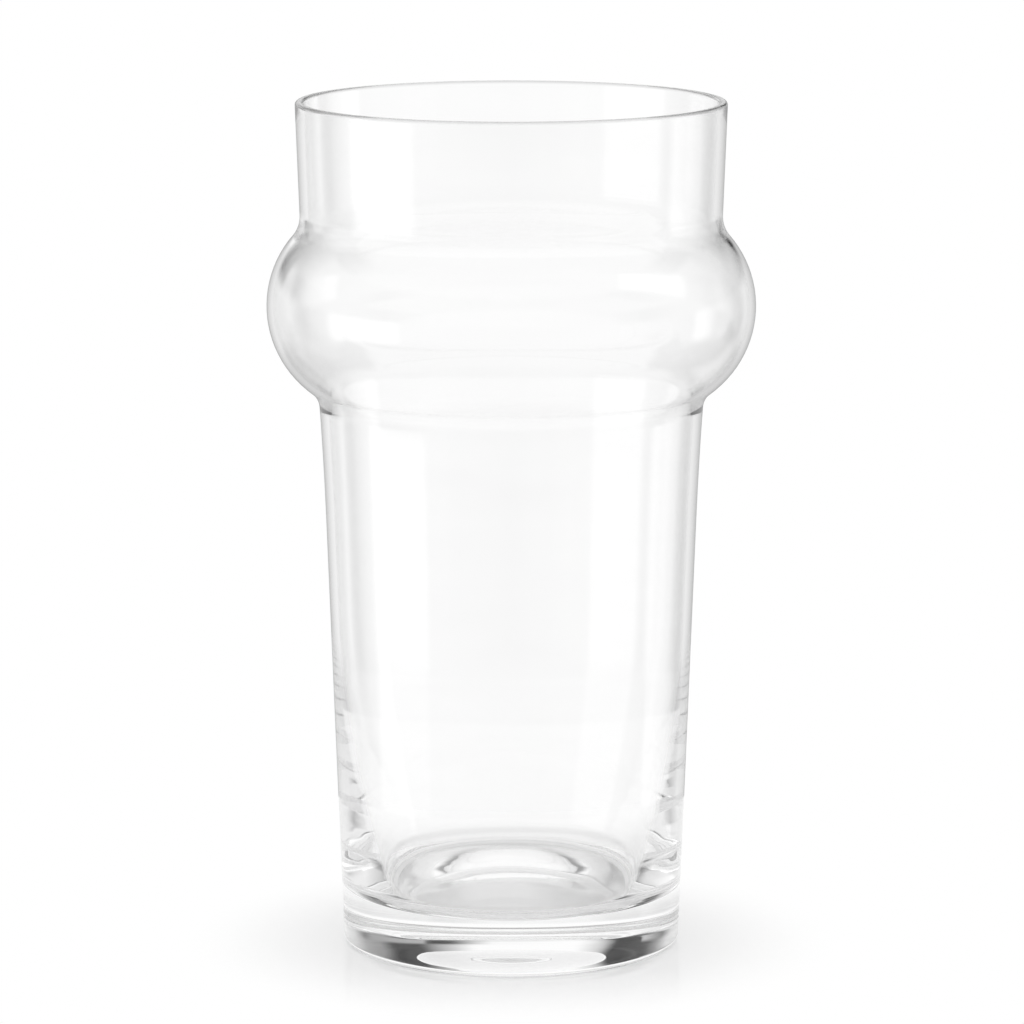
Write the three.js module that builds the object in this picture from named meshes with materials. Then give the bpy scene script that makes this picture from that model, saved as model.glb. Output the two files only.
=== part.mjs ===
// Beer glass with a bulge below the rim, blown in one piece from clear glass.
// Millimetres, +Z up. The origin is the centre of the foot, on the table.
// The glass is a body of revolution, so its whole form is one closed section,
// drawn as (distance from the axis, height above the table) and spun about the axis.

import * as THREE from 'three';

// Heights above the table
const HEIGHT = 158; // top of the rim
const BULGE_HEIGHT = 120.1; // widest point of the bulge
const FLARE_HEIGHT = 80; // above this the side flares a little towards the bulge
const THICK_WALL_HEIGHT = 60; // below this the wall grows thicker towards the floor
const FLOOR_HEIGHT = 9.5; // inside floor, which is the thickness of the base

// Outside diameters
const RIM_DIAMETER = 79.6;
const BULGE_DIAMETER = 90.4;
const BASE_DIAMETER = 62.7; // the side carried on straight down to the table
const PUNT_DIAMETER = 53; // the shallow hollow under the base

// Thickness of the glass and depth of the hollow under it
const COLLAR_WALL = 1.55;
const BULGE_WALL = 1.1;
const BODY_WALL = 1.5;
const PUNT_DEPTH = 1.9;

// Lean of the side and of the collar, outward with height
const TAPER = THREE.MathUtils.degToRad(2.17);

// Radii of the round stretches of the section
const BULGE_ARC = 19.4; // the belly of the bulge
const NECK_ARC = 6; // outside bend between bulge and collar
const CREASE_ARC = 4.5; // outside bend between body and bulge
const FLARE_ARC = 700; // the slight flare of the upper body
const THICKENING_ARC = 230; // the inside of the body, where the wall grows thicker
const FLOOR_ARC = 4.5; // inside corner between wall and floor
const HEEL_ARC = 1.8; // outside corner between body and foot
const LIP_ARC = 0.7; // polished edges of the rim

// Fineness of the facets
const FACET_ERROR = 0.05; // how far a facet may lie off its arc
const TURN_STEPS = 64; // facets round the axis
const PUNT_STEPS = 10; // facets from the axis to the rim of the hollow

const point = (r, z) => new THREE.Vector2(r, z);
const slope = Math.tan(TAPER);
const outward = point(Math.cos(TAPER), -Math.sin(TAPER)); // square to every leaning wall

// The point at a distance from a centre, in a direction given as an angle
function around(centre, radius, angle) {
  return point(centre.x + radius * Math.cos(angle), centre.y + radius * Math.sin(angle));
}

// The direction from one point to another, as an angle
function direction(from, to) {
  return Math.atan2(to.y - from.y, to.x - from.x);
}

// Points along an arc from one angle to another, both ends included
function arc(centre, radius, from, to) {
  const widest = 2 * Math.acos(1 - FACET_ERROR / Math.max(radius, 2 * FACET_ERROR));
  const steps = Math.max(3, Math.ceil(Math.abs(to - from) / widest));
  const points = [];
  for (let i = 0; i <= steps; i++) {
    points.push(around(centre, radius, from + ((to - from) * i) / steps));
  }
  return points;
}

// A wall line leans by TAPER. It is held as the radius that it has at the table.
const onWall = (radiusAtTable, z) => point(radiusAtTable + z * slope, z);

// The line beside a wall line, at a distance measured square to it
const beside = (radiusAtTable, distance) => radiusAtTable + distance / Math.cos(TAPER);

// Where two circles meet, on the side to the left of the way from one centre to the other
function circlesMeet(centreA, radiusA, centreB, radiusB) {
  const gap = centreA.distanceTo(centreB);
  const along = (gap * gap + radiusA * radiusA - radiusB * radiusB) / (2 * gap);
  const aside = Math.sqrt(radiusA * radiusA - along * along);
  const heading = direction(centreA, centreB);
  return around(around(centreA, along, heading), aside, heading + Math.PI / 2);
}

// The upper point where a wall line meets a circle
function wallMeetsCircle(radiusAtTable, centre, radius) {
  const level = onWall(radiusAtTable, centre.y);
  const a = 1 + slope * slope;
  const b = slope * (level.x - centre.x);
  const c = (level.x - centre.x) ** 2 - radius ** 2;
  return onWall(radiusAtTable, centre.y + (-b + Math.sqrt(b * b - a * c)) / a);
}

// Wall lines and centres that the outside and the inside share
const bodyOutside = BASE_DIAMETER / 2;
const bodyInside = beside(bodyOutside, -BODY_WALL);
const collarOutside = RIM_DIAMETER / 2 - HEIGHT * slope;
const collarInside = beside(collarOutside, -COLLAR_WALL);
const bulgeCentre = point(BULGE_DIAMETER / 2 - BULGE_ARC, BULGE_HEIGHT);
const flareCentre = onWall(bodyOutside, FLARE_HEIGHT).addScaledVector(outward, FLARE_ARC);

// Hollow under the base: it rises from the foot ring in an even wave to the middle
function punt() {
  const points = [];
  for (let i = 0; i <= PUNT_STEPS; i++) {
    const share = i / PUNT_STEPS;
    const rise = (PUNT_DEPTH / 2) * (1 + Math.cos(Math.PI * share));
    points.push(point((share * PUNT_DIAMETER) / 2, rise));
  }
  return points;
}

// Heel: the round corner from the flat foot ring to the side
function heel() {
  const centre = onWall(beside(bodyOutside, -HEEL_ARC), HEEL_ARC);
  return arc(centre, HEEL_ARC, -Math.PI / 2, -TAPER);
}

// One face of the glass from the straight body to the straight collar.
// The body flares, bends into the belly of the bulge and bends back into the collar.
// offset is how far this face lies inside the outer one, at each of the three stretches.
function shoulder(offset, collarLine) {
  const belly = BULGE_ARC - offset.bulge;
  const creaseRadius = CREASE_ARC + offset.body;
  const neckRadius = NECK_ARC + offset.collar;
  const creaseCentre = circlesMeet(
    flareCentre, FLARE_ARC - CREASE_ARC,
    bulgeCentre, belly + creaseRadius,
  );
  const neckCentre = wallMeetsCircle(beside(collarLine, neckRadius), bulgeCentre, belly + neckRadius);
  const bellyStart = direction(bulgeCentre, creaseCentre);
  const bellyEnd = direction(bulgeCentre, neckCentre);
  const flareEnd = direction(creaseCentre, flareCentre) + Math.PI;
  return [
    ...arc(flareCentre, FLARE_ARC + offset.body, Math.PI - TAPER, flareEnd),
    ...arc(creaseCentre, creaseRadius, flareEnd, bellyStart + Math.PI),
    ...arc(bulgeCentre, belly, bellyStart, bellyEnd),
    ...arc(neckCentre, neckRadius, bellyEnd + Math.PI, Math.PI - TAPER),
  ];
}

// Rim: a nearly flat top with both edges melted round
function rim() {
  const outer = onWall(beside(collarOutside, -LIP_ARC), HEIGHT - LIP_ARC);
  const inner = onWall(beside(collarInside, LIP_ARC), HEIGHT - LIP_ARC);
  return [
    ...arc(outer, LIP_ARC, -TAPER, Math.PI / 2),
    ...arc(inner, LIP_ARC, Math.PI / 2, Math.PI - TAPER),
  ];
}

// Inside of the thick lower wall, and the round corner that takes it into the floor
function well() {
  const start = onWall(bodyInside, THICK_WALL_HEIGHT);
  const wallCentre = start.clone().addScaledVector(outward, -THICKENING_ARC);
  const cornerHeight = FLOOR_HEIGHT + FLOOR_ARC;
  const reach = THICKENING_ARC - FLOOR_ARC;
  const drop = wallCentre.y - cornerHeight;
  const cornerCentre = point(wallCentre.x + Math.sqrt(reach ** 2 - drop ** 2), cornerHeight);
  const corner = direction(wallCentre, cornerCentre);
  return [
    ...arc(wallCentre, THICKENING_ARC, -TAPER, corner),
    ...arc(cornerCentre, FLOOR_ARC, corner, -Math.PI / 2),
    point(0, FLOOR_HEIGHT),
  ];
}

// The whole section, from the middle of the hollow underneath, up the outside,
// over the rim and down the inside to the middle of the floor
function section() {
  const outside = shoulder({ body: 0, bulge: 0, collar: 0 }, collarOutside);
  const inside = shoulder({ body: BODY_WALL, bulge: BULGE_WALL, collar: COLLAR_WALL }, collarInside);
  const drawn = [...punt(), ...heel(), ...outside, ...rim(), ...inside.reverse(), ...well()];
  const same = (a, b) => a.distanceTo(b) < FACET_ERROR / 10;
  return drawn.filter((here, i) => i === 0 || !same(here, drawn[i - 1]));
}

function glassBody() {
  const geometry = new THREE.LatheGeometry(section(), TURN_STEPS);
  geometry.rotateX(Math.PI / 2);
  const clearGlass = new THREE.MeshStandardMaterial({
    color: 0xf4f7f6,
    roughness: 0.02,
    metalness: 0,
    transparent: true,
    opacity: 0.25,
  });
  const mesh = new THREE.Mesh(geometry, clearGlass);
  mesh.name = 'glass_body';
  return mesh;
}

const beerGlass = new THREE.Group();
beerGlass.name = 'beer_glass';
beerGlass.add(glassBody());

export default beerGlass;
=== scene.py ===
# %% [markdown]
# Beer glass with a bulge below the rim.
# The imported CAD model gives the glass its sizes. Here it is drawn again as one smooth skin,
# because refraction shows every flat facet of a coarse model.

# %% Load the frame
import math

import bmesh
import bpy
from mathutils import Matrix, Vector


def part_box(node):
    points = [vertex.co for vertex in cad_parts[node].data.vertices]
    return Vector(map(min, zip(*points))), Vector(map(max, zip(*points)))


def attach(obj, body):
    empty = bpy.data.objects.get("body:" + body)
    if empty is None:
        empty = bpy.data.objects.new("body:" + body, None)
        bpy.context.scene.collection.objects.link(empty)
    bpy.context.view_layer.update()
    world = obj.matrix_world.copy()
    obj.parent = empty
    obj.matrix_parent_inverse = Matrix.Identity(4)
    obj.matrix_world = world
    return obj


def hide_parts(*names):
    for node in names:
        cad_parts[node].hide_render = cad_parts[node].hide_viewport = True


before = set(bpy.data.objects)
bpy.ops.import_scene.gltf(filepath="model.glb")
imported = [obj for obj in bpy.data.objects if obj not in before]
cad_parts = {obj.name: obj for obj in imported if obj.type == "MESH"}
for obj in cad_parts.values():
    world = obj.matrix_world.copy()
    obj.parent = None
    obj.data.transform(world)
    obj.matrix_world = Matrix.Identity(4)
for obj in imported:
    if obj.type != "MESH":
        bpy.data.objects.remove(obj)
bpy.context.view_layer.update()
MM = 0.001  # the CAD is written in millimetres, Blender works in metres
low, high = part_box("glass_body")
print("CAD glass, mm:", [round(v / MM, 2) for v in high - low])

# %% [markdown]
# The section of the glass. A body of revolution needs one drawing only: the outline of the cut
# through one wall, from the middle of the base, up the outside, over the rim and down the inside.
# It is drawn with straight lines and arcs that run into each other without a kink, as the walls
# of blown glass do. The sizes are those of the CAD model.

# %% Sizes of the glass, in millimetres
HEIGHT = 158
RIM_DIAMETER = 79.6
BULGE_DIAMETER = 90.4
BULGE_HEIGHT = 120.1  # widest point of the bulge
FLARE_HEIGHT = 80  # above this the side flares a little
THICK_WALL_HEIGHT = 60  # below this the wall grows thicker
FLOOR_HEIGHT = 9.5  # thickness of the base
BASE_DIAMETER = 62.7  # the side carried on straight down to the table
PUNT_DIAMETER = 53  # the shallow hollow under the base
PUNT_DEPTH = 1.9
COLLAR_WALL = 1.55
BULGE_WALL = 1.1
BODY_WALL = 1.5
TAPER = math.radians(2.17)  # lean of the walls
BULGE_ARC = 19.4
NECK_ARC = 6
CREASE_ARC = 4.5
FLARE_ARC = 700
THICKENING_ARC = 230
FLOOR_ARC = 4.5
HEEL_ARC = 1.8
LIP_ARC = 0.7

slope = math.tan(TAPER)
body_outside = BASE_DIAMETER / 2
body_inside = body_outside - BODY_WALL / math.cos(TAPER)
collar_outside = RIM_DIAMETER / 2 - HEIGHT * slope
collar_inside = collar_outside - COLLAR_WALL / math.cos(TAPER)

# %% [markdown]
# A few lines of plane geometry find where the arcs meet. A wall line is held as the radius
# that it has at the table, because it leans by the same angle everywhere.


# %% Plane geometry of the section
def on_wall(radius_at_table, z):
    return (radius_at_table + z * slope, z)


def beside(radius_at_table, distance):
    return radius_at_table + distance / math.cos(TAPER)


def around(centre, radius, angle):
    return (centre[0] + radius * math.cos(angle), centre[1] + radius * math.sin(angle))


def direction(start, end):
    return math.atan2(end[1] - start[1], end[0] - start[0])


def circles_meet(centre_a, radius_a, centre_b, radius_b):
    gap = math.dist(centre_a, centre_b)
    along = (gap**2 + radius_a**2 - radius_b**2) / (2 * gap)
    aside = math.sqrt(radius_a**2 - along**2)
    heading = direction(centre_a, centre_b)
    return around(around(centre_a, along, heading), aside, heading + math.pi / 2)


def wall_meets_circle(radius_at_table, centre, radius):
    level = on_wall(radius_at_table, centre[1])[0] - centre[0]
    a = 1 + slope**2
    b = slope * level
    rise = (-b + math.sqrt(b * b - a * (level**2 - radius**2))) / a
    return on_wall(radius_at_table, centre[1] + rise)


# %% [markdown]
# The outline is drawn as with a pen. One vertex is pulled along straight lines by extruding it,
# and round arcs by spinning it about their centre. Each arc gets as many steps as it needs for
# its turn, so that light meets a round surface and not a row of flats.

# %% Pen for the outline
ARC_STEP = math.radians(4)
LINE_STEP = 4.0  # straight walls get a ring of points this often

outline = bmesh.new()
pen = outline.verts.new((0, 0, PUNT_DEPTH))


def line_to(point):
    """Pulls the pen straight to a point, in short steps."""
    global pen
    start = (pen.co.x, pen.co.z)
    steps = max(1, round(math.dist(start, point) / LINE_STEP))
    for _ in range(steps):
        made = bmesh.ops.extrude_vert_indiv(outline, verts=[pen])
        pen = made["verts"][0]
        move = ((point[0] - start[0]) / steps, 0, (point[1] - start[1]) / steps)
        bmesh.ops.translate(outline, verts=[pen], vec=move)


def arc_round(centre, turn, least_steps=3):
    """Swings the pen round a centre. A positive turn is anticlockwise, with z up and x right."""
    global pen
    steps = max(least_steps, math.ceil(abs(turn) / ARC_STEP))
    made = bmesh.ops.spin(
        outline,
        geom=[pen],
        cent=(centre[0], 0, centre[1]),
        axis=(0, -1, 0),
        angle=turn,
        steps=steps,
    )
    pen = [part for part in made["geom_last"] if isinstance(part, bmesh.types.BMVert)][0]


# %% [markdown]
# Both faces of the upper part have the same form: the side flares, bends out into the belly of
# the bulge and bends back into the collar. So one function finds the centres and the turns of
# these four arcs, and it is used for the outside and, in reverse, for the inside.


# %% Arcs of the flare, crease, belly and neck
bulge_centre = (BULGE_DIAMETER / 2 - BULGE_ARC, BULGE_HEIGHT)
flare_start = on_wall(body_outside, FLARE_HEIGHT)
flare_centre = around(flare_start, FLARE_ARC, -TAPER)


def shoulder_arcs(body_wall, bulge_wall, collar_wall, collar_line):
    belly = BULGE_ARC - bulge_wall
    crease = CREASE_ARC + body_wall
    neck = NECK_ARC + collar_wall
    crease_centre = circles_meet(flare_centre, FLARE_ARC - CREASE_ARC, bulge_centre, belly + crease)
    neck_centre = wall_meets_circle(beside(collar_line, neck), bulge_centre, belly + neck)
    flare_end = direction(crease_centre, flare_centre) + math.pi
    belly_start = direction(bulge_centre, crease_centre)
    belly_end = direction(bulge_centre, neck_centre)
    return [
        (flare_centre, flare_end - (math.pi - TAPER)),
        (crease_centre, belly_start + math.pi - flare_end),
        (bulge_centre, belly_end - belly_start),
        (neck_centre, -TAPER - belly_end),
    ]


# %% [markdown]
# The outside comes first, from the middle of the base. A shallow hollow under the base lets the
# glass stand on a ring only, so that it doesn't rock. Two arcs that bend opposite ways draw it as
# one even wave. Then come the round heel, the leaning wall and the bulge.

# %% Outside, from the hollow up to the collar
punt_bend = ((PUNT_DIAMETER / 2) ** 2 + PUNT_DEPTH**2) / (4 * PUNT_DEPTH)
punt_turn = 2 * math.atan2(PUNT_DEPTH, PUNT_DIAMETER / 2)
heel_centre = on_wall(beside(body_outside, -HEEL_ARC), HEEL_ARC)
arc_round((0, PUNT_DEPTH - punt_bend), -punt_turn, 12)
arc_round((PUNT_DIAMETER / 2, punt_bend), punt_turn, 12)
line_to((heel_centre[0], 0))
arc_round(heel_centre, math.pi / 2 - TAPER, 12)
line_to(flare_start)
for centre, turn in shoulder_arcs(0, 0, 0, collar_outside):
    arc_round(centre, turn, 8)
print("outside drawn up to, mm:", round(pen.co.z, 2))

# %% [markdown]
# The rim. The edge of a blown glass is melted until it is round, because lips touch it. Two
# quarter arcs with a short flat between them draw that, and they catch a thin line of light.

# %% Rim
outer_lip = on_wall(beside(collar_outside, -LIP_ARC), HEIGHT - LIP_ARC)
inner_lip = on_wall(beside(collar_inside, LIP_ARC), HEIGHT - LIP_ARC)
line_to(around(outer_lip, LIP_ARC, -TAPER))
arc_round(outer_lip, math.pi / 2 + TAPER, 8)
line_to((inner_lip[0], HEIGHT))
arc_round(inner_lip, math.pi / 2 - TAPER, 8)
print("points up to the inside of the rim:", len(outline.verts))

# %% [markdown]
# The inside runs back down. Through the bulge it has the same arcs as the outside, moved in by
# the thickness of the wall. Below that, one long arc lets the wall grow thicker towards the base,
# and a small one takes it into the flat floor. This thick glass bends the light into bars and
# rings, so its arcs decide how the base looks.

# %% Inside, from the collar down to the floor
inside_arcs = shoulder_arcs(BODY_WALL, BULGE_WALL, COLLAR_WALL, collar_inside)
neck_centre = inside_arcs[-1][0]
line_to(around(neck_centre, NECK_ARC + COLLAR_WALL, math.pi - TAPER))
for centre, turn in reversed(inside_arcs):
    arc_round(centre, -turn, 8)

well_start = on_wall(body_inside, THICK_WALL_HEIGHT)
wall_centre = around(well_start, THICKENING_ARC, math.pi - TAPER)
corner_height = FLOOR_HEIGHT + FLOOR_ARC
corner_reach = THICKENING_ARC - FLOOR_ARC
corner_drop = wall_centre[1] - corner_height
corner_centre = (wall_centre[0] + math.sqrt(corner_reach**2 - corner_drop**2), corner_height)
corner_angle = direction(wall_centre, corner_centre)
line_to(well_start)
arc_round(wall_centre, corner_angle + TAPER, 24)
arc_round(corner_centre, -math.pi / 2 - corner_angle, 16)
line_to((0, FLOOR_HEIGHT))
print("points in the outline:", len(outline.verts))

# %% [markdown]
# Spinning the outline once round the axis makes the glass. use_merge joins the last step to the
# first, and merging doubles closes the two poles, in the middle of the base and of the floor.

# %% Spin the outline into the glass
TURN_STEPS = 256
SAME_PLACE = 0.001  # vertices nearer than this, in millimetres, become one

bmesh.ops.spin(
    outline,
    geom=outline.verts[:] + outline.edges[:],
    cent=(0, 0, 0),
    axis=(0, 0, 1),
    angle=2 * math.pi,
    steps=TURN_STEPS,
    use_merge=True,
)
bmesh.ops.remove_doubles(outline, verts=outline.verts[:], dist=SAME_PLACE)
bmesh.ops.scale(outline, vec=(MM, MM, MM), verts=outline.verts[:])
bmesh.ops.recalc_face_normals(outline, faces=outline.faces[:])
for face in outline.faces:
    face.smooth = True
open_edges = [edge for edge in outline.edges if not edge.is_manifold]
litres = outline.calc_volume() * 1000
print("faces:", len(outline.faces), "open edges:", len(open_edges), "litres of glass:", round(litres, 4))

# %% [markdown]
# The skin becomes an object. It rides on the root of the frame and stands in for the CAD model of
# the glass. Its place is in its mesh, so it sits at the origin.

# %% Glass in the scene
glass_mesh = bpy.data.meshes.new("blown_glass")
outline.to_mesh(glass_mesh)
outline.free()
glass = bpy.data.objects.new("blown_glass", glass_mesh)
bpy.context.scene.collection.objects.link(glass)
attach(glass, "root")
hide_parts("glass_body")
print("glass in the scene, mm:", [round(v / MM, 2) for v in glass.dimensions])

# %% [markdown]
# Materials are built from nodes. Two helpers keep that short: one adds a node with its settings,
# the other turns a value such as a height into a soft step, where a hard one would show as a line.


# %% Helpers for nodes
def add_node(tree, kind, **settings):
    """Adds a node and sets its properties and, by name, its sockets."""
    node = tree.nodes.new(kind)
    for name, value in settings.items():
        if hasattr(node, name):
            setattr(node, name, value)
        else:
            node.inputs[name.replace("_", " ")].default_value = value
    return node


def smooth_range(tree, value, low, high, start=0.0, end=1.0):
    """Runs softly from start to end while a value goes from low to high."""
    node = add_node(tree, "ShaderNodeMapRange", interpolation_type="SMOOTHSTEP")
    for name, number in (("From Min", low), ("From Max", high), ("To Min", start), ("To Max", end)):
        node.inputs[name].default_value = number
    tree.links.new(value, node.inputs["Value"])
    return node.outputs["Result"]


# %% [markdown]
# Clear glass. All of the light goes through it or is thrown back, so it is a Principled shader
# with full transmission. The index of refraction is that of common soda-lime glass. Both are the
# same all over, so they are set on the shader.

# %% Clear glass
GLASS_INDEX = 1.52

clear_glass = bpy.data.materials.new("clear_glass")
clear_glass.use_nodes = True
tree = clear_glass.node_tree
shader = tree.nodes["Principled BSDF"]
shader.inputs["Transmission Weight"].default_value = 1
shader.inputs["IOR"].default_value = GLASS_INDEX
glass_mesh.materials.append(clear_glass)
print("index of refraction:", GLASS_INDEX)

# %% [markdown]
# Ripples. A perfectly even wall looks like a computer's idea of glass. In the photograph the
# thick lower wall breaks the light into small facets, so it gets soft ripples that run round it.
# Noise that is squeezed in height and fed to bump bends the light without more faces. Height masks
# keep the ripples in the thick wall.

# %% Ripples in the thick wall
RIPPLE_LENGTH = 5.5 * MM  # from one ripple to the next, up the wall
RIPPLE_STRETCH = 5  # a ripple runs this much further round the wall than up it
RIPPLE_DEPTH = 0.08 * MM
RIPPLES_SET_IN = (9 * MM, 17 * MM)  # heights between which they grow to full strength
RIPPLES_FADE = (17 * MM, 45 * MM)  # heights between which they fade with the wall
FOOT_RIPPLES = 0.1  # share of them that is left in the base
THIN_WALL_RIPPLES = 0.06  # share of them that is left in the thin wall

place = add_node(tree, "ShaderNodeTexCoord")
stretch = add_node(tree, "ShaderNodeMapping", Scale=(1, 1, RIPPLE_STRETCH))
tree.links.new(place.outputs["Object"], stretch.inputs["Vector"])
ripples = add_node(tree, "ShaderNodeTexNoise", Scale=1 / (RIPPLE_LENGTH * RIPPLE_STRETCH), Detail=1.0)
tree.links.new(stretch.outputs["Vector"], ripples.inputs["Vector"])

height = add_node(tree, "ShaderNodeSeparateXYZ")
tree.links.new(place.outputs["Object"], height.inputs["Vector"])
above_foot = smooth_range(tree, height.outputs["Z"], *RIPPLES_SET_IN, FOOT_RIPPLES, 1.0)
below_thin = smooth_range(tree, height.outputs["Z"], *RIPPLES_FADE, 1.0, THIN_WALL_RIPPLES)
strength = add_node(tree, "ShaderNodeMath", operation="MULTIPLY")
tree.links.new(above_foot, strength.inputs[0])
tree.links.new(below_thin, strength.inputs[1])
bump = add_node(tree, "ShaderNodeBump", Distance=RIPPLE_DEPTH)
tree.links.new(ripples.outputs["Fac"], bump.inputs["Height"])
tree.links.new(strength.outputs["Value"], bump.inputs["Strength"])
tree.links.new(bump.outputs["Normal"], shader.inputs["Normal"])
print("ripple depth on the thick wall, mm:", round(RIPPLE_DEPTH / MM, 3))

# %% [markdown]
# Tint, painted rim shade and haze. The colour drops over the height of the lip: this is painted shade
# that draws a dark line along the rim. A hardly visible haze in patches, as from wiping, keeps
# the mirror images from being perfectly sharp.

# %% Tint, painted rim shade and haze
LIP_PAINTED_SHADE = 0.5  # painted shade: colour at the very top of the rim
LOW_TINT = 0.992  # colour where the ripples are lowest, against 1 where they are highest
RIPPLE_RANGE = (0.3, 0.7)  # lowest and highest that the ripple noise commonly gets
WIPE_SCALE = 90.0
WIPE_RANGE = (0.45, 0.75)  # the haze sets in and is strongest at these values of its noise
WIPE_HAZE = 0.02  # roughness of the haziest patches

uneven = smooth_range(tree, ripples.outputs["Fac"], *RIPPLE_RANGE, LOW_TINT, 1.0)
lip_start = (HEIGHT - LIP_ARC) * MM
# painted shade: the colour drops over the height of the lip to draw a dark line along the rim
painted_lip_shade = smooth_range(tree, height.outputs["Z"], lip_start, HEIGHT * MM, 1.0, LIP_PAINTED_SHADE)
tint_and_lip_shade = add_node(tree, "ShaderNodeMath", operation="MULTIPLY")
tree.links.new(uneven, tint_and_lip_shade.inputs[0])
tree.links.new(painted_lip_shade, tint_and_lip_shade.inputs[1])
tree.links.new(tint_and_lip_shade.outputs["Value"], shader.inputs["Base Color"])
wiped = add_node(tree, "ShaderNodeTexNoise", Scale=WIPE_SCALE, Detail=3.0)
tree.links.new(place.outputs["Object"], wiped.inputs["Vector"])
haze = smooth_range(tree, wiped.outputs["Fac"], *WIPE_RANGE, 0.0, WIPE_HAZE)
tree.links.new(haze, shader.inputs["Roughness"])
print("grey of the lip and haze:", LIP_PAINTED_SHADE, WIPE_HAZE)

# %% [markdown]
# The table is a plain disc.

# %% Floor
FLOOR_RADIUS = 0.13

floor_skin = bmesh.new()
bmesh.ops.create_circle(floor_skin, cap_ends=True, segments=128, radius=FLOOR_RADIUS)
floor_mesh = bpy.data.meshes.new("floor")
floor_skin.to_mesh(floor_mesh)
floor_skin.free()
floor = bpy.data.objects.new("floor", floor_mesh)
bpy.context.scene.collection.objects.link(floor)
print("floor across, mm:", round(2 * FLOOR_RADIUS / MM))

# %% [markdown]
# White table. It has just enough gloss for a faint mirror image of the foot, and it takes the
# glass's soft shadow. About half of its white is its own glow, which keeps that shadow pale.
# Further out it turns into an even white, so that no edge of it shows beside or through the glass.

# %% White table
TABLE_GREY = 0.48  # the part of the white that is lit, and so can be in shadow
TABLE_GLOW = 0.52  # the part that isn't
TABLE_ROUGHNESS = 0.12
GLOSS = 0.14  # share of the light that the table mirrors
GLOSS_START = 0.034  # just outside the foot
GLOSS_END = 0.062  # from here out the floor is an even white

white_table = bpy.data.materials.new("white_table")
white_table.use_nodes = True
tree = white_table.node_tree
table = tree.nodes["Principled BSDF"]
table.inputs["Base Color"].default_value = (TABLE_GREY, TABLE_GREY, TABLE_GREY, 1)
table.inputs["Specular IOR Level"].default_value = 0
table.inputs["Emission Color"].default_value = (1, 1, 1, 1)
table.inputs["Emission Strength"].default_value = TABLE_GLOW
polish = add_node(tree, "ShaderNodeBsdfGlossy", Roughness=TABLE_ROUGHNESS)
polish.inputs["Color"].default_value = (1, 1, 1, 1)
even_white = add_node(tree, "ShaderNodeEmission", Strength=1.0)
even_white.inputs["Color"].default_value = (1, 1, 1, 1)
place = add_node(tree, "ShaderNodeTexCoord")
distance = add_node(tree, "ShaderNodeVectorMath", operation="LENGTH")
tree.links.new(place.outputs["Object"], distance.inputs[0])
outwards = smooth_range(tree, distance.outputs["Value"], GLOSS_START, GLOSS_END)
polished = add_node(tree, "ShaderNodeMixShader", Fac=GLOSS)
tree.links.new(table.outputs["BSDF"], polished.inputs[1])
tree.links.new(polish.outputs["BSDF"], polished.inputs[2])
blend = add_node(tree, "ShaderNodeMixShader")
tree.links.new(outwards, blend.inputs["Fac"])
tree.links.new(polished.outputs["Shader"], blend.inputs[1])
tree.links.new(even_white.outputs["Emission"], blend.inputs[2])
tree.links.new(blend.outputs["Shader"], tree.nodes["Material Output"].inputs["Surface"])
floor_mesh.materials.append(white_table)
print("even white from, mm:", round(GLOSS_END / MM))

# %% [markdown]
# The studio. Glass shows what stands round it more than itself, so the room matters as much as
# the material. Seen straight on or straight through the glass, everything is even white paper.
# What the glass mirrors is a ring of white panels, black flags and two long softboxes: they
# draw the bright bars on the collar and the body and the dark bars in the thick base. Lamps and
# real panels could do this too, but they would show through the glass. Each stop of a ring gives
# an azimuth in degrees from straight behind the glass, right positive, and how bright the ring
# is there.

# %% Panels, flags and softboxes
RING_HIGH = [  # in full from 17 to 32 degrees above the horizon
    (-180, 0.8), (-130, 0.85), (-95, 0.85), (-76, 0.8), (-62, 0.7), (-50, 0.2),
    (-43, 0.01), (-26, 0.01),  # black flag
    (-22, 0.6), (-15, 1.0), (8, 1.0), (13, 0.6), (18, 0.3),  # white paper
    (22, 0.03), (33, 0.01),  # right flag
    (40, 0.25), (50, 0.3), (62, 0.6), (80, 0.85), (130, 0.85), (180, 0.8),
]
RING_LOW = [  # in full from 6 to 11 degrees above it
    (-180, 0.8), (-140, 0.8), (-118, 0.45), (-95, 0.85),
    (-76, 0.72), (-66, 0.66), (-54, 0.07), (-39.5, 0.53), (-38.5, 0.0), (-27, 0.0),  # black flag
    (-22, 0.6), (-19, 0.85), (-15, 1.0), (4, 0.95), (8, 0.6), (10.5, 0.33),  # white paper
    (13, 0.08), (15, 0.02), (19.5, 0.02),  # edge of the right flag
    (20.5, 0.4), (44, 0.3), (50, 0.1), (61, 0.6), (80, 0.85), (95, 0.7),
    (113, 0.35), (135, 0.8), (180, 0.8),
]
RING_BELOW = [  # in full from the horizon to 14 degrees below it
    (-180, 0.65), (-150, 0.75), (-127, 0.8), (-123, 1.5), (-87, 1.5),  # left softbox
    (-82, 0.6), (-76, 0.5), (-66, 0.35), (-61, 0.45), (-55, 0.8), (-46, 0.7), (-40, 0.85),
    (-30, 0.9), (-12, 0.65), (-6, 0.4), (6, 0.4), (12, 0.6), (26, 0.8), (36, 0.9),
    (42, 0.4), (50, 0.3), (58, 0.7), (70, 1.1), (77, 1.5), (82, 1.5),  # right softbox
    (85, 0.7), (127, 0.8), (150, 0.75), (180, 0.65),
]
print("stops in the rings:", len(RING_HIGH), len(RING_LOW), len(RING_BELOW))

# %% [markdown]
# Over and under the rings the light is the same all round, apart from a dark gap in the ceiling
# above the far panels, which gives the inner floor its ring. Each pair below says between which
# elevations, in degrees, one level blends into the next.

# %% Levels over and under the rings
TABLE_LEVEL = 0.65  # under the lowest ring
GAP = 0.15  # dark ceiling on the far side
OVERHEAD = 1.0  # large softbox over everything
BENT_UP_LEVEL = 0.3  # what the rim bends into view from above the paper

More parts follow.
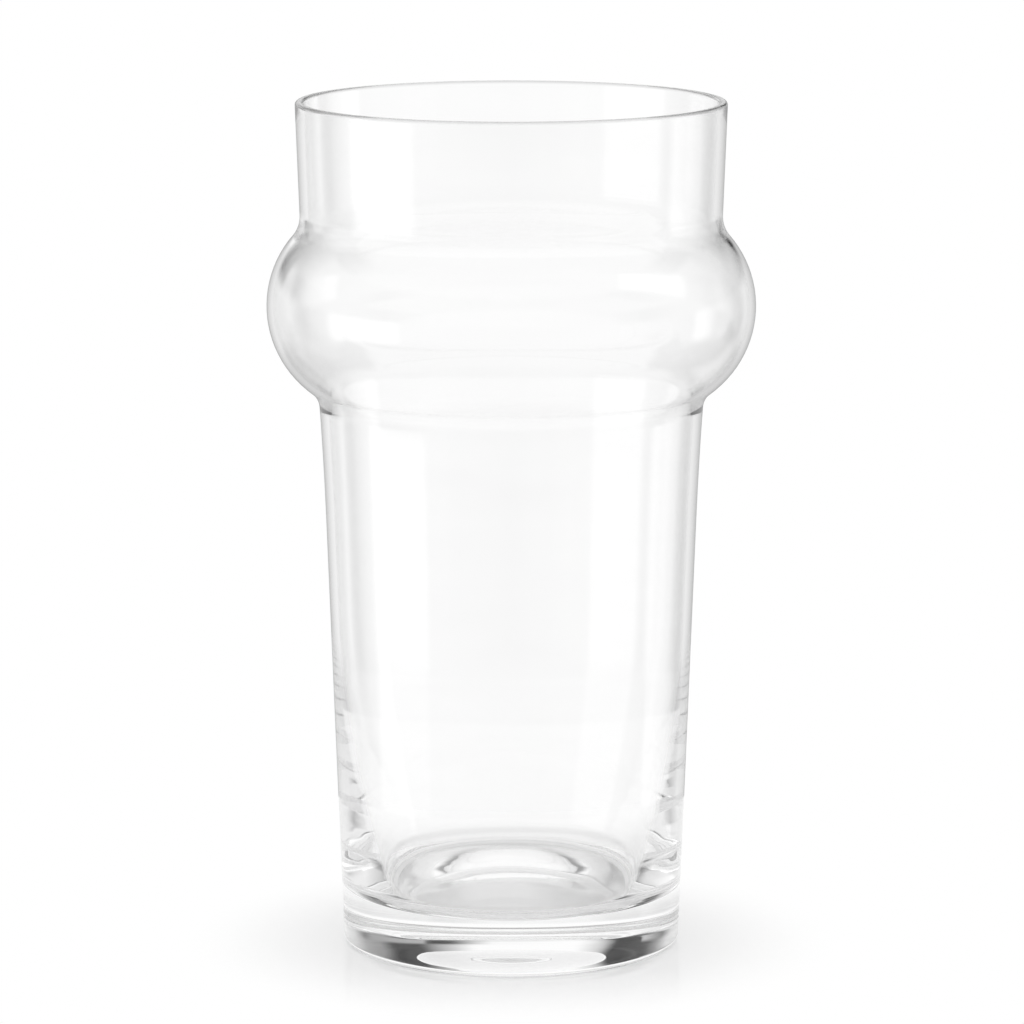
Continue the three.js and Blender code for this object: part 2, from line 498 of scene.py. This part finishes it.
TO_BELOW = (-20, -14)
TO_LOW = (0, 6)
TO_HIGH = (11, 17)
TO_GAP = (32, 36)
TO_OVERHEAD = (43, 49)
PAPER_ENDS = (8, 22)  # over these the straight view is no longer white paper
FAR_SIDE = (-0.1, 0.4)  # share of a direction that points away from the camera's side
print("light under the rings and overhead:", TABLE_LEVEL, OVERHEAD)

# %% [markdown]
# The world is one background light. It starts with a clean node tree, and its strength will be
# worked out for every direction.

# %% World
world = bpy.data.worlds.new("studio")
bpy.context.scene.world = world
world.use_nodes = True
tree = world.node_tree
tree.nodes.clear()
sky = add_node(tree, "ShaderNodeBackground")
sky.inputs["Color"].default_value = (1, 1, 1, 1)
sky_output = add_node(tree, "ShaderNodeOutputWorld")
tree.links.new(sky.outputs["Background"], sky_output.inputs["Surface"])
print("world:", world.name)

# %% [markdown]
# Three helpers for the world: one does arithmetic, one blends two levels, and one turns the stops
# of a ring into a colour ramp that is read by azimuth.


# %% Helpers for the world
def calculate(operation, first, second=None):
    """One step of arithmetic on numbers or sockets."""
    node = add_node(tree, "ShaderNodeMath", operation=operation)
    for socket, value in zip(node.inputs, (first, second)):
        if isinstance(value, (int, float)):
            socket.default_value = value
        elif value is not None:
            tree.links.new(value, socket)
    return node.outputs["Value"]


def blend_between(factor, first, second):
    """Goes from the first brightness to the second as the factor goes from 0 to 1."""
    node = add_node(tree, "ShaderNodeMix")
    for name, value in (("Factor", factor), ("A", first), ("B", second)):
        if isinstance(value, (int, float)):
            node.inputs[name].default_value = value
        else:
            tree.links.new(value, node.inputs[name])
    return node.outputs["Result"]


def ring_of_light(stops, turn):
    """Brightness by azimuth. The ramp itself stays between 0 and 1, so it is scaled after."""
    brightest = max(brightness for _, brightness in stops)
    ramp = add_node(tree, "ShaderNodeValToRGB")
    while len(ramp.color_ramp.elements) < len(stops):
        ramp.color_ramp.elements.new(1)
    for stop, (azimuth, brightness) in zip(ramp.color_ramp.elements, stops):
        stop.position = azimuth / 360 + 0.5
        stop.color = [brightness / brightest] * 3 + [1]
    tree.links.new(turn, ramp.inputs["Fac"])
    return calculate("MULTIPLY", ramp.outputs["Color"], brightest)


# %% [markdown]
# What the glass mirrors. The direction of the light gives an azimuth, as a share of a full turn,
# and a rise over the horizon, in degrees. The levels are then laid over each other from the table
# upwards, each with a soft edge.

# %% Light that the glass mirrors
look = add_node(tree, "ShaderNodeTexCoord")
along = add_node(tree, "ShaderNodeSeparateXYZ")
tree.links.new(look.outputs["Generated"], along.inputs["Vector"])
turn = calculate("ARCTAN2", along.outputs["X"], along.outputs["Y"])
turn = calculate("ADD", calculate("MULTIPLY", turn, 0.5 / math.pi), 0.5)
rise = calculate("MULTIPLY", calculate("ARCSINE", along.outputs["Z"]), 180 / math.pi)
below_ring = ring_of_light(RING_BELOW, turn)
low_ring = ring_of_light(RING_LOW, turn)
high_ring = ring_of_light(RING_HIGH, turn)
mirrored = blend_between(smooth_range(tree, rise, *TO_BELOW), TABLE_LEVEL, below_ring)
mirrored = blend_between(smooth_range(tree, rise, *TO_LOW), mirrored, low_ring)
mirrored = blend_between(smooth_range(tree, rise, *TO_HIGH), mirrored, high_ring)
far_side = smooth_range(tree, along.outputs["Y"], *FAR_SIDE)
gap = blend_between(far_side, OVERHEAD, GAP)
mirrored = blend_between(smooth_range(tree, rise, *TO_GAP), mirrored, gap)
mirrored = blend_between(smooth_range(tree, rise, *TO_OVERHEAD), mirrored, OVERHEAD)
print("nodes in the world so far:", len(tree.nodes))

# %% [markdown]
# Which light sees what. Light that was thrown back at least once, on the glass or inside it, sees
# the ring. Light that only passed through sees white paper, and less above it. The camera itself
# and the soft light on the table see plain white.

# %% Choose by the way of the light
bent_up = smooth_range(tree, rise, *PAPER_ENDS)  # refracted away from the paper, as by the rim
straight = blend_between(bent_up, 1.0, BENT_UP_LEVEL)
light_path = add_node(tree, "ShaderNodeLightPath")
was_mirrored = calculate("GREATER_THAN", light_path.outputs["Glossy Depth"], 0.5)
through_glass = blend_between(was_mirrored, straight, mirrored)
plain = calculate("MAXIMUM", light_path.outputs["Is Camera Ray"], light_path.outputs["Is Diffuse Ray"])
tree.links.new(blend_between(plain, through_glass, 1.0), sky.inputs["Strength"])
print("nodes in the world:", len(tree.nodes))

# %% [markdown]
# Light inside glass takes long ways: it is thrown back many times between the floor, the hollow
# and the walls before it leaves. With too few bounces allowed, those places turn black.

# %% Room for light to bounce
BOUNCES = 96  # 32 bounces leave the crease under the bulge dark

cycles = bpy.context.scene.cycles
cycles.max_bounces = BOUNCES
cycles.transmission_bounces = BOUNCES
cycles.glossy_bounces = BOUNCES
print("bounces allowed:", BOUNCES)

# %% [markdown]
# The camera. The photograph was taken from about a metre, with a long lens, from a little above
# the rim. The lens is turned down by the angle that makes the rim and the foot as open as they
# are in the photograph.

# %% Camera
SENSOR_WIDTH = 36
LENS = 204.58
CAMERA_PLACE = (0, -1.0667, 0.26212)
LOOKS_DOWN = 0.16792  # radians

scene = bpy.context.scene
camera_data = bpy.data.cameras.new("camera")
camera_data.sensor_width = SENSOR_WIDTH
camera_data.lens = LENS
camera_data.shift_x = 0.0007  # puts the axis of the glass where the photograph has it
camera_data.clip_start = 0.01
camera = bpy.data.objects.new("camera", camera_data)
camera.location = CAMERA_PLACE
camera.rotation_euler = (math.pi / 2 - LOOKS_DOWN, 0, 0)
scene.collection.objects.link(camera)
scene.camera = camera
scene.view_settings.view_transform = "Standard"
print("camera looks down by, degrees:", round(math.degrees(LOOKS_DOWN), 2))
